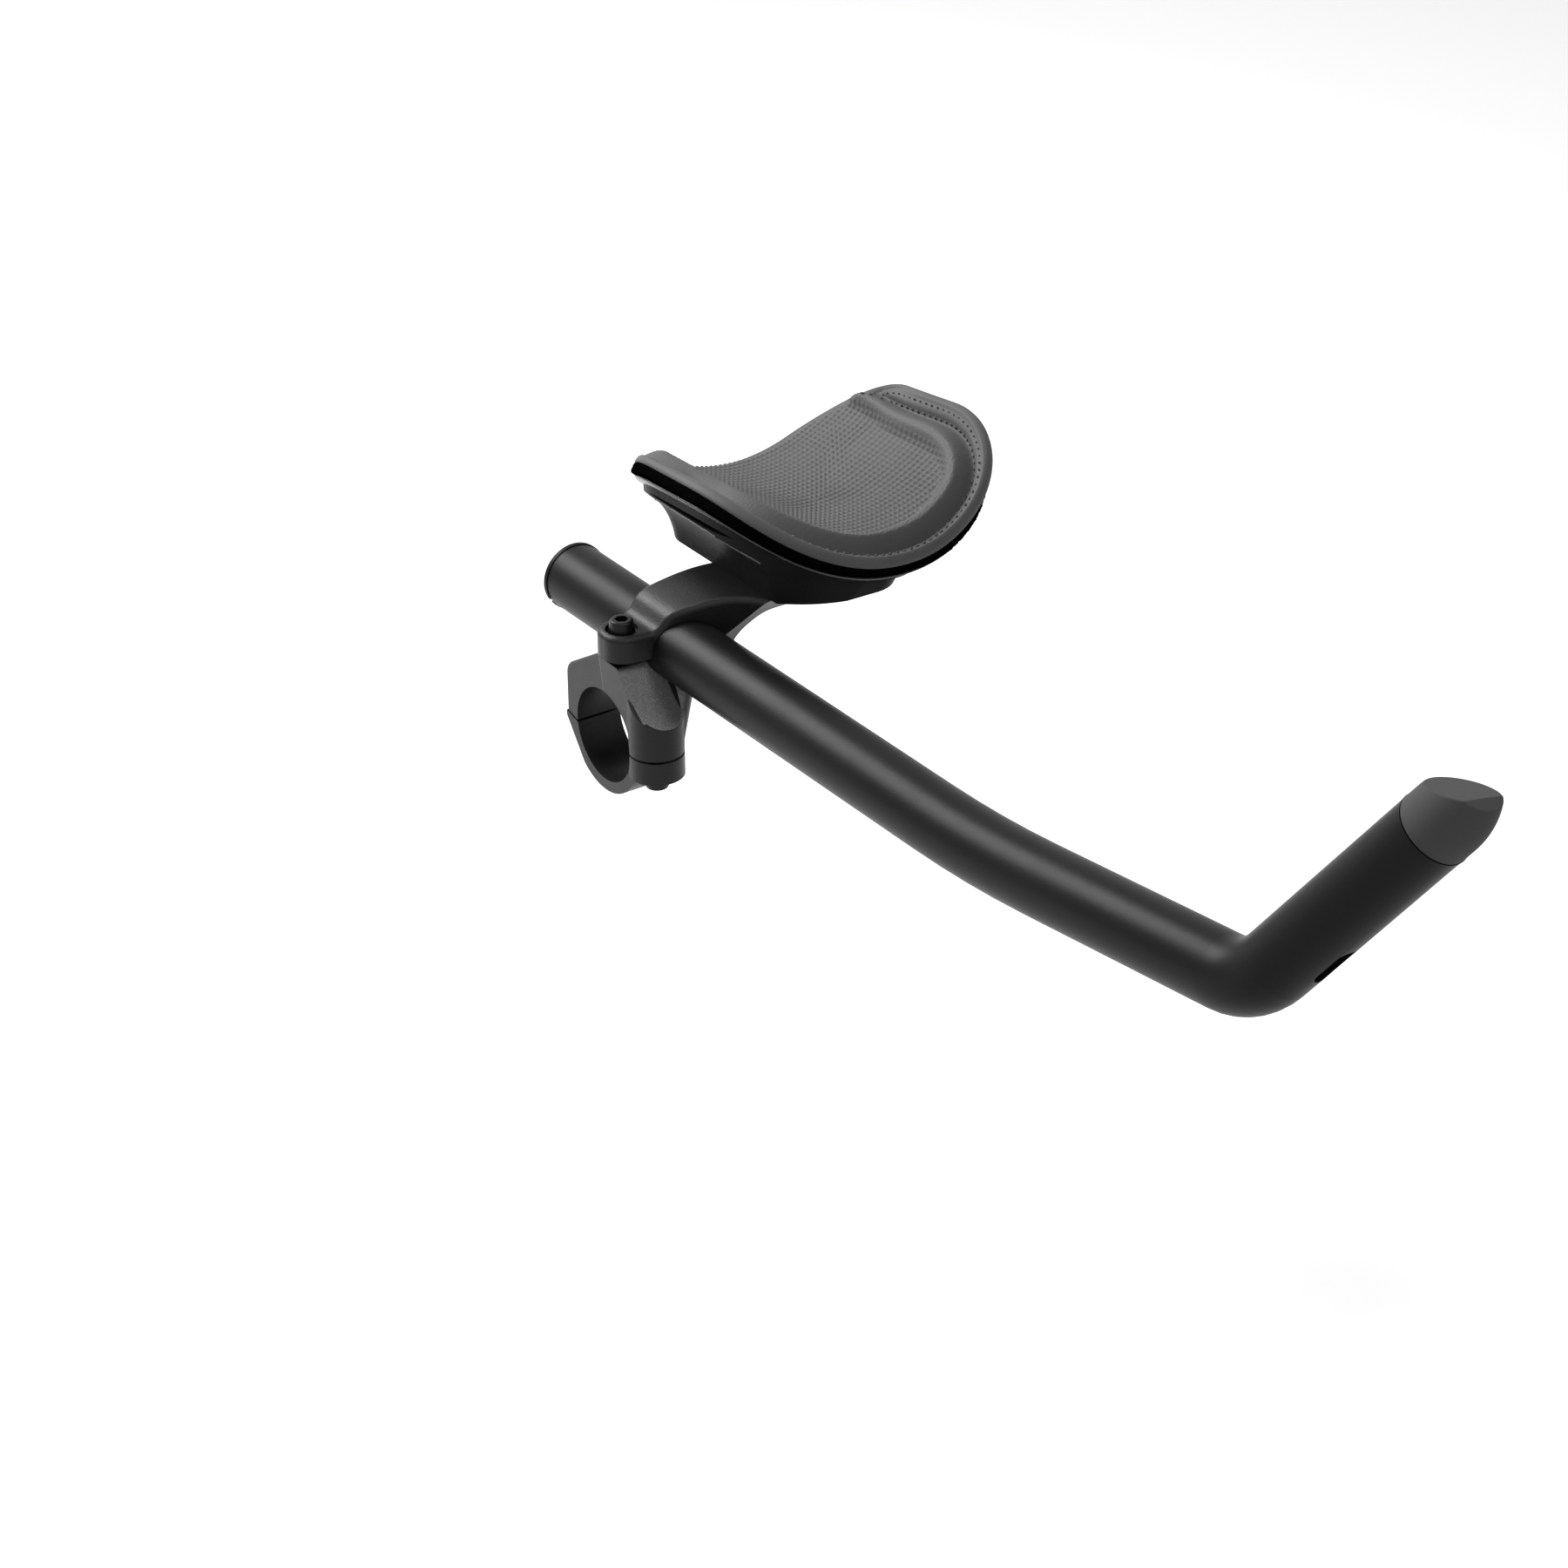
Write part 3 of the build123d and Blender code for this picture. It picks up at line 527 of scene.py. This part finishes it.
def skin_height(pad, inset, flat):
    """Height of the skin above the backing: flange, seam, roll and dished middle."""
    u, v = flat[:, 0], flat[:, 1]
    arc_half = pad.shell_radius * asin(pad.width / 2 / pad.shell_radius)
    rear = 1 - smooth(-0.034, -0.010, u)
    side = np.maximum(arc_half - np.abs(v), inset)
    reach = inset + rear * (side - inset)
    flange = pad.flange * smooth(-0.0004, 0.0014, reach) ** 0.6
    start = np.where(v > 0, -0.030, 0.0)
    seam = smooth(-0.022 + start, 0.004 + start, u)
    groove = GROOVE_DEPTH * np.exp(-(((reach - GROOVE_AT) / GROOVE_HALF) ** 2)) * seam
    bead = BEAD_HEIGHT * np.exp(-(((reach - BEAD_AT) / BEAD_HALF) ** 2)) * seam
    rise = smooth(ROLL_START - ROLL_UNSEAMED * (1 - seam), ROLL_TOP, reach)
    fall = smooth(ROLL_CREST, ROLL_END, reach)
    height = flange - groove + bead + (pad.bolster - pad.flange) * rise - (pad.bolster - pad.dish) * fall
    edge = smooth(-0.0004, 0.0058, inset) ** 0.55
    height = height * (1 - rear * (1 - edge))
    calm = smooth(TREAD_START, TREAD_FULL, reach)
    inner = smooth(GRAIN_START, GRAIN_FULL, inset)
    tread = pad.emboss_depth * embossed(u, v, pad.emboss_pitch) * calm
    grain = pebbles(u, v) * inner * (1 - calm)
    return height + tread * inner + grain * GRAIN_DEPTH


def swell(pad, base):
    """Cloth pass on a coarse closed cushion: how far each of its top rings moves, capped."""
    count = SWELL_COUNT
    points, inward = skin_outline(pad, count)
    top, middle = ring_stack(pad, points, inward, np.linspace(0.0010, DEEPEST_RING, 13), SWELL_STEPS)
    under, _ = ring_stack(pad, points, inward, np.linspace(0.0040, DEEPEST_RING, 4), 5)
    cloud = [on_trough(pad, flat, base + skin_height(pad, np.full(count, inset), flat)) for inset, flat in top]
    cloud += [on_middle(pad, middle, base + pad.dish)]
    below = sum(len(ring) for ring in cloud)
    cloud += [on_trough(pad, flat, np.full(count, base)) for _, flat in under]
    cloud += [on_middle(pad, middle, base)]
    start = np.concatenate(cloud)
    form = link_mesh("pad_swell", start, closed_form(count, len(top), len(under)), None)
    pins = form.vertex_groups.new(name="held")
    pins.add([k for k in range(len(start)) if k >= below or k < 3 * count], 1.0, "REPLACE")
    cloth = form.modifiers.new("swell", "CLOTH")
    cloth.settings.vertex_group_mass = "held"
    cloth.settings.use_pressure = True
    cloth.settings.uniform_pressure_force = SWELL_PRESSURE
    cloth.settings.effector_weights.gravity = 0.0
    cloth.point_cache.frame_end = SWELL_FRAMES
    scene = bpy.context.scene
    for number in range(1, SWELL_FRAMES + 1):
        scene.frame_set(number)
    blown = form.evaluated_get(bpy.context.evaluated_depsgraph_get()).to_mesh()
    end = np.empty(len(start) * 3)
    blown.vertices.foreach_get("co", end)
    moved = end.reshape(-1, 3) - start
    form.evaluated_get(bpy.context.evaluated_depsgraph_get()).to_mesh_clear()
    mesh = form.data
    bpy.data.objects.remove(form)
    bpy.data.meshes.remove(mesh)
    scene.frame_set(1)
    far = np.linalg.norm(moved, axis=1)[:, None]
    moved = moved * np.minimum(1.0, pad.swell / np.maximum(far, 1e-9))
    grid = moved[: len(top) * count].reshape(len(top), count, 3)
    for _ in range(SWELL_SMOOTHING):
        grid = (np.roll(grid, 1, 1) + 2 * grid + np.roll(grid, -1, 1)) / 4
        grid[1:-1] = (grid[:-2] + 2 * grid[1:-1] + grid[2:]) / 4
    deep = np.array([inset for inset, _ in top])
    return deep, grid * (1 - smooth(SWELL_FADE_START, SWELL_FADE_END, deep))[:, None, None]


def swell_at(deep, grid, inset, count):
    """Cloth movement of one fine ring, read between the coarse rings and points."""
    row = np.interp(inset, deep, np.arange(len(deep)))
    low = min(int(row), len(deep) - 2)
    ring = grid[low] * (1 - (row - low)) + grid[low + 1] * (row - low)
    place = np.arange(count) * ring.shape[0] / count
    spots = np.arange(ring.shape[0] + 1)
    loop = np.vstack([ring, ring[:1]])
    return np.stack([np.interp(place, spots, loop[:, k]) for k in range(3)], -1)


def build_skin(pad, material):
    """Closed skin of the pad, with the cloth pass's swell; gives back that swell for the stitches."""
    count = 640
    base = pad.patch + pad.backing
    points, inward = skin_outline(pad, count)
    t = pad.flange
    wall = [(0.0006, -0.40 * t), (0.0001, -0.32 * t), (0.0, 0.10 * t), (0.0001, 0.55 * t), (0.0005, 0.85 * t)]
    insets = np.concatenate([np.linspace(0.0011, 0.0110, 26), np.linspace(0.0114, DEEPEST_RING, 30)])
    top, middle = ring_stack(pad, points, inward, insets, 60)
    under, _ = ring_stack(pad, points, inward, np.linspace(0.0020, DEEPEST_RING, 3), 3)
    deep, grid = swell(pad, base)
    rings = [on_trough(pad, develop(pad, points, inward, inset), base + np.full(count, up)) for inset, up in wall]
    for inset, flat in top:
        ring = on_trough(pad, flat, base + skin_height(pad, np.full(count, inset), flat))
        if grid is not None:
            ring = ring + swell_at(deep, grid, inset, count)
        rings.append(ring)
    tip = on_middle(pad, middle, base + pad.dish)
    if grid is not None:
        tip = tip + grid[-1].mean(axis=0)
    floor = [on_trough(pad, flat, np.full(count, base)) for _, flat in under]
    cloud = np.concatenate(rings + [tip] + floor + [on_middle(pad, middle, base)])
    faces = closed_form(count, len(rings), len(floor))
    skin = mesh_piece("pad_skin_cover", cloud, faces, material)
    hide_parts("pad_cushion")
    return deep, grid


def build_fleece(pad, material):
    """Looped backing: a closed sheet with a ragged wall, and short loose fibres around its edge."""
    count = 720
    rng = np.random.default_rng(7)
    points, inward = rim_outline(pad, count)
    top, middle = ring_stack(pad, points, inward, np.linspace(0.0030, DEEPEST_RING, 4), 4)
    high = pad.patch + pad.backing - 0.0001
    rings = []
    hang = pad.patch - 0.0002
    for level in np.linspace(-hang, pad.backing - 0.0001, 8):
        bulge = 0.0003 - 0.0006 * abs(level / pad.backing - 0.5) + rng.normal(0, WALL_ROUGHNESS, count)
        flat = develop(pad, points, inward, 0.0) - inward * bulge[:, None]
        rings.append(on_trough(pad, flat, pad.patch + np.full(count, level)))
    rings += [on_trough(pad, flat, np.full(count, high)) for _, flat in top]
    droop = [hang * (1 - smooth(0.0, 0.0100, inset)) for inset, _ in top]
    floor = [on_trough(pad, flat, np.full(count, pad.patch - low)) for (_, flat), low in zip(top, droop)]
    tip, foot = on_middle(pad, middle, high), on_middle(pad, middle, pad.patch)
    cloud = np.concatenate(rings + [tip] + floor + [foot])
    faces = closed_form(count, len(rings), len(floor))
    fleece = mesh_piece("pad_fleece", cloud, faces, material)
    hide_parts("pad_backing")
    fibres, tufts = [], []
    for _ in range(FIBRE_COUNT):
        k = rng.integers(count)
        level = rng.uniform(0.0002 - hang, pad.backing - 0.0004)
        root = develop(pad, points[k : k + 1], inward[k : k + 1], 0.0002)
        out = -inward[k] * rng.uniform(0.0004, 0.0011) + rng.normal(0, 0.0003, 2)
        side = np.array([inward[k][1], -inward[k][0]]) * FIBRE_HALF
        a = on_trough(pad, root + side, np.array([pad.patch + level]))[0]
        b = on_trough(pad, root - side, np.array([pad.patch + level]))[0]
        c = on_trough(pad, root + out, np.array([pad.patch + level + rng.normal(0, 0.0003)]))[0]
        tufts.append((len(fibres), len(fibres) + 1, len(fibres) + 2))
        fibres += [a, b, c]
    mesh_piece("pad_fleece_nap", fibres, tufts, material, smooth_shade=False)


def build_stitches(pad, material, deep, grid):
    """Two rows of small lozenges pressed along the seam and the flange."""
    cloud, faces = [], []
    base = pad.patch + pad.backing
    count = 1600
    points, inward = skin_outline(pad, count)
    step = np.linalg.norm(np.roll(points, -1, 0) - points, axis=1)
    along = np.concatenate([[0], np.cumsum(step)])
    for inset, long, wide, high in STITCH_ROWS:
        shift = None if grid is None else swell_at(deep, grid, inset, count)
        for place in np.arange(0, along[-1], pad.stitch_pitch):
            k = int(np.searchsorted(along, place)) % count
            if points[k, 0] < (SEAM_END_INBOARD if points[k, 1] < 0 else SEAM_END_OUTBOARD):
                continue
            centre = develop(pad, points[k : k + 1], inward[k : k + 1], inset)
            lift = base + skin_height(pad, np.array([inset]), centre)[0]
            ahead = np.array([inward[k, 1], -inward[k, 0]])
            corners = [ahead * long, inward[k] * wide, -ahead * long, -inward[k] * wide]
            n = len(cloud)
            ring = [(corner, lift - STITCH_SINK) for corner in corners] + [(c * 0.5, lift + high) for c in corners]
            for corner, height in ring:
                spot = on_trough(pad, centre + corner, np.array([height]))[0]
                cloud.append(spot if shift is None else spot + shift[k])
            faces += [(n + i, n + (i + 1) % 4, n + 4 + (i + 1) % 4, n + 4 + i) for i in range(4)]
            faces += [(n + 4, n + 5, n + 6, n + 7), (n + 3, n + 2, n + 1, n)]
    mesh_piece("pad_stitching", cloud, faces, material)


def build_lip(pad, material):
    """Rounded bead around the moulded shell's edge."""
    count, sides = 420, 12
    half_width, half_height, outside, sunk = 0.0017, 0.0008, 0.0009, 0.0006
    points, inward = rim_outline(pad, count)
    plan = points + inward * (pad.shell_inset - outside)
    cloud, faces = [], []
    for k in range(sides):
        turn = 2 * pi * k / sides
        spread = plan - inward * half_width * cos(turn)
        trough = pad.shell_radius - np.sqrt(pad.shell_radius**2 - spread[:, 1] ** 2)
        cloud.append(tilted(pad, spread[:, 0], spread[:, 1], trough - sunk + half_height * sin(turn)))
    for k in range(sides):
        low, high = k * count, (k + 1) % sides * count
        for i in range(count):
            n = (i + 1) % count
            faces.append((low + i, low + n, high + n, high + i))
    mesh_piece("shell_edge_bead", np.concatenate(cloud), faces, material)


def build_shell(pad, material):
    """The moulded shell with its outboard front corner drawn in to the rim of the pad."""
    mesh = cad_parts["armrest_shell"].data.copy()
    shell = bpy.data.objects.new("armrest_shell_trimmed", mesh)
    bpy.context.scene.collection.objects.link(shell)
    points, inward = rim_outline(pad, 720)
    plan = points + inward * pad.shell_inset
    turns = np.arctan2(plan[:, 1], plan[:, 0])
    order = np.argsort(turns)
    turns, reach = turns[order], np.hypot(plan[:, 0], plan[:, 1])[order]
    c, s = cos(pad.pitch), sin(pad.pitch)
    spots = np.empty(len(mesh.vertices) * 3, dtype=np.float32)
    mesh.vertices.foreach_get("co", spots)
    away = spots.reshape(-1, 3) - np.array(pad.centre)
    x, y, z = c * away[:, 0] + s * away[:, 2], away[:, 1], c * away[:, 2] - s * away[:, 0]
    far = np.hypot(x, y)
    room = np.interp(np.arctan2(y, x), turns, reach, period=2 * pi)
    share = np.minimum(1.0, room / np.maximum(far, 1e-6))
    radius = np.hypot(y, pad.shell_radius - z)
    x, y_in = x * share, y * share
    lower = pad.shell_radius - np.sqrt(np.maximum(radius**2 - y_in**2, 0.0))
    z = np.where(share < 1.0, lower, z)
    moved = np.stack([c * x - s * z, y_in, s * x + c * z], -1) + np.array(pad.centre)
    mesh.vertices.foreach_set("co", moved.astype(np.float32).ravel())
    mesh.update()
    mesh.materials.clear()
    mesh.materials.append(material)
    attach(shell, BODY)
    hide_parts("armrest_shell")


def build_painted_highlight_strip(material):
    """Thin ragged pale strip of painted highlight on the hull's inboard wall, laid on the shell where the camera sees
    it.
    """
    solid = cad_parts["armrest_shell"].data
    form = bmesh.new()
    form.from_mesh(solid)
    shell = BVHTree.FromBMesh(form)
    form.free()
    camera = bpy.context.scene.camera.matrix_world
    eye = camera.translation
    ends = np.array(PAINTED_STRIP_PIXELS)
    half = PHOTO_SIDE / 2
    focal = PHOTO_SIDE * bpy.context.scene.camera.data.lens / CAMERA_SENSOR
    rng = np.random.default_rng(3)
    spots = []
    for share in np.linspace(0, 1, 150):
        x = np.interp(share * 3, range(4), ends[:, 0]) - half
        y = half - np.interp(share * 3, range(4), ends[:, 1])
        ray = (camera.to_3x3() @ Vector((x, y, -focal))).normalized()
        spot, normal, _, _ = shell.ray_cast(eye, ray)
        if spot:
            spots.append((spot, normal))
    if len(spots) < 100:
        raise RuntimeError("the lining's edge misses the shell")
    cloud, faces = [], []
    for k, (spot, normal) in enumerate(spots):
        ahead = (spots[min(k + 1, len(spots) - 1)][0] - spots[max(k - 1, 0)][0]).normalized()
        across = normal.cross(ahead).normalized()
        reach = 0.00022 + rng.uniform(0.0, 0.00016)
        sway = rng.normal(0, 0.00008)
        for side in (-1, 1):
            cloud.append(spot + across * (sway + side * reach) - normal * 0.0001)
            cloud.append(spot + across * (sway + side * reach * 0.6) + normal * 0.00025)
    for k in range(len(spots) - 1):
        a, b = 4 * k, 4 * k + 4
        for i, j in ((0, 1), (1, 3), (3, 2)):
            faces.append((a + i, b + i, b + j, a + j))
    mesh_piece("shell_lining_edge", cloud, faces, material)


def build_seam(material):
    """Dark seam ring between the tube's tip and its front plug."""
    axis = Vector(TIP_AXIS).normalized()
    centre = Vector(TIP_CENTRE)
    across = axis.cross(Vector((0, 0, 1))).normalized()
    other = axis.cross(across)
    count, sides = 160, 8
    cloud, faces = [], []
    for k in range(count):
        out = across * cos(2 * pi * k / count) + other * sin(2 * pi * k / count)
        for i in range(sides):
            turn = 2 * pi * i / sides
            cloud.append(centre + out * (TIP_RADIUS + TIP_BEAD * cos(turn)) + axis * TIP_BEAD * sin(turn))
        for i in range(sides):
            n, m = (k + 1) % count, (i + 1) % sides
            faces.append((k * sides + i, n * sides + i, n * sides + m, k * sides + m))
    mesh_piece("front_plug_seam", cloud, faces, material)


def dress(nodes, material):
    """Gives solids a finish through their material slots."""
    for name in nodes:
        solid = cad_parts[name]
        solid.data.materials.clear()
        solid.data.materials.append(material)


def shown_ray(g):
    """1 for the rays that show the background: seen, mirrored or through glass."""
    path = g.add("ShaderNodeLightPath")
    mirrored = g.math("MAXIMUM", path.outputs["Is Glossy Ray"], path.outputs["Is Transmission Ray"])
    return g.math("MAXIMUM", path.outputs["Is Camera Ray"], mirrored)


class OBJECT_OT_finishes(bpy.types.Operator):
    """Make the shared node groups and every finish"""

    bl_idname = "extension.finishes"
    bl_label = "Finishes"

    def execute(self, context):
        colours = context.scene.extension_finish
        fine_grain()
        rub_wear()
        for name, colour, rough, drift, grain_scale, bump, specular, other in FINISHES:
            shade = getattr(colours, colour)
            finish_material(name, shade, rough, drift, grain_scale, bump, specular, **other)
        return {"FINISHED"}


class OBJECT_OT_metalwork(bpy.types.Operator):
    """Dress the tube, the clamp forgings, the arm, the bolts and the plugs"""

    bl_idname = "extension.metalwork"
    bl_label = "Metalwork and plugs"

    def execute(self, context):
        finish = bpy.data.materials
        dress(["extension_tube"], finish["tube_anodised"])
        # The bracket's finish paints a highlight on its scoop
        dress(["bracket_body"], finish["forging_recessed"])
        dress(["bar_clamp_cap", "armrest_arm"], finish["forging_blasted"])
        dress(["bar_clamp_bolt", "arm_clamp_bolt", "armrest_screws"], finish["oxide_steel"])
        dress(["front_plug"], finish["plug_rubber"])
        dress(["rear_plug"], finish["moulded_plastic"])
        build_seam(finish["fleece_black"])
        return {"FINISHED"}


class OBJECT_OT_armrest(bpy.types.Operator):
    """Dress the armrest's shell and its hook patches"""

    bl_idname = "extension.armrest"
    bl_label = "Armrest shell"

    def execute(self, context):
        finish = bpy.data.materials
        build_shell(context.scene.extension_pad, finish["moulded_plastic"])
        patches = [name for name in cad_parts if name.startswith("hook_patch")]
        dress(patches, finish["fleece_black"])
        build_lip(context.scene.extension_pad, finish["moulded_gloss"])
        # Painted highlight strip along the shell's lower edge
        build_painted_highlight_strip(finish["lining_edge"])
        return {"FINISHED"}


class OBJECT_OT_pad(bpy.types.Operator):
    """Build the forearm pad: skin, stitching and looped backing"""

    bl_idname = "extension.pad"
    bl_label = "Forearm pad"

    def execute(self, context):
        pad = context.scene.extension_pad
        finish = bpy.data.materials
        deep, grid = build_skin(pad, finish["pad_skin_grey"])
        build_stitches(pad, finish["pad_skin_grey"], deep, grid)
        build_fleece(pad, finish["fleece_black"])
        return {"FINISHED"}


class OBJECT_OT_studio(bpy.types.Operator):
    """Set up the camera, the soft lights and the pale floor"""

    bl_idname = "extension.studio"
    bl_label = "Studio"

    def execute(self, context):
        scene = context.scene
        place = Vector(CAMERA_PLACE)
        yaw, pitch, roll = CAMERA_YAW, CAMERA_PITCH, CAMERA_ROLL
        ahead = Vector((cos(yaw) * cos(pitch), sin(yaw) * cos(pitch), -sin(pitch)))
        right = Vector((sin(yaw), -cos(yaw), 0.0))
        up = right.cross(ahead)
        level = right * cos(roll) + up * sin(roll)
        raised = up * cos(roll) - right * sin(roll)
        camera = bpy.data.cameras.new("photo_camera")
        camera.lens = CAMERA_LENS
        camera.sensor_width = CAMERA_SENSOR
        camera.clip_start = CAMERA_NEAR
        holder = bpy.data.objects.new("photo_camera", camera)
        holder.matrix_world = Matrix.Translation(place) @ Matrix((level, raised, -ahead)).transposed().to_4x4()
        scene.collection.objects.link(holder)
        scene.camera = holder

        for name, spot, aim, size, power in LAMPS:
            lamp = bpy.data.lights.new(name, "AREA")
            lamp.shape = "RECTANGLE"
            lamp.size, lamp.size_y = size, size
            lamp.energy = power
            body = bpy.data.objects.new(name, lamp)
            body.location = spot
            body.rotation_euler = (Vector(aim) - Vector(spot)).to_track_quat("-Z", "Y").to_euler()
            scene.collection.objects.link(body)

        world = bpy.data.worlds.new("studio_world")
        scene.world = world
        world.use_nodes = True
        g = Graph(world.node_tree)
        sky = world.node_tree.nodes["Background"]
        sky.inputs["Color"].default_value = (1.0, 1.0, 1.0, 1.0)
        g.wire(g.spread(shown_ray(g), 0.0, 1.0, WORLD_FILL, WORLD_SEEN), sky.inputs["Strength"])

        mesh = bpy.data.meshes.new("floor")
        form = bmesh.new()
        bmesh.ops.create_grid(form, x_segments=4, y_segments=4, size=FLOOR_HALF)
        bmesh.ops.translate(form, verts=form.verts, vec=(0, 0, FLOOR_LEVEL))
        form.to_mesh(mesh)
        form.free()
        floor = bpy.data.objects.new("floor", mesh)
        scene.collection.objects.link(floor)
        paint = bpy.data.materials.new("floor_white")
        paint.use_nodes = True
        g = Graph(paint.node_tree)
        shader = paint.node_tree.nodes["Principled BSDF"]
        shader.inputs["Base Color"].default_value = (FLOOR_SHADE, FLOOR_SHADE, FLOOR_SHADE, 1.0)
        shader.inputs["Roughness"].default_value = FLOOR_ROUGHNESS
        shader.inputs["Emission Color"].default_value = (1.0, 1.0, 1.0, 1.0)
        g.wire(g.math("MULTIPLY", shown_ray(g), FLOOR_GLOW), shader.inputs["Emission Strength"])
        mesh.materials.append(paint)

        scene.view_settings.view_transform = "Standard"
        return {"FINISHED"}


class VIEW3D_PT_extension(bpy.types.Panel):
    """Lists the steps and sizes of the handlebar extension"""

    bl_label = "Handlebar extension"
    bl_idname = "VIEW3D_PT_extension"
    bl_space_type = "VIEW_3D"
    bl_region_type = "UI"
    bl_category = "Extension"

    def draw(self, context):
        column = self.layout.column()
        for step in STEPS:
            column.operator(step.bl_idname)
        for block in (context.scene.extension_pad, context.scene.extension_finish):
            for name in block.__annotations__:
                column.prop(block, name)


STEPS = (OBJECT_OT_studio, OBJECT_OT_finishes, OBJECT_OT_metalwork, OBJECT_OT_armrest, OBJECT_OT_pad)
CLASSES = (PadSettings, FinishSettings, *STEPS, VIEW3D_PT_extension)


def register():
    for kind in CLASSES:
        bpy.utils.register_class(kind)
    bpy.types.Scene.extension_pad = bpy.props.PointerProperty(type=PadSettings)
    bpy.types.Scene.extension_finish = bpy.props.PointerProperty(type=FinishSettings)


def unregister():
    del bpy.types.Scene.extension_finish
    del bpy.types.Scene.extension_pad
    for kind in reversed(CLASSES):
        bpy.utils.unregister_class(kind)


def main():
    register()
    bpy.ops.extension.studio()
    bpy.ops.extension.finishes()
    bpy.ops.extension.metalwork()
    bpy.ops.extension.armrest()
    bpy.ops.extension.pad()


if __name__ == "__main__":
    main()
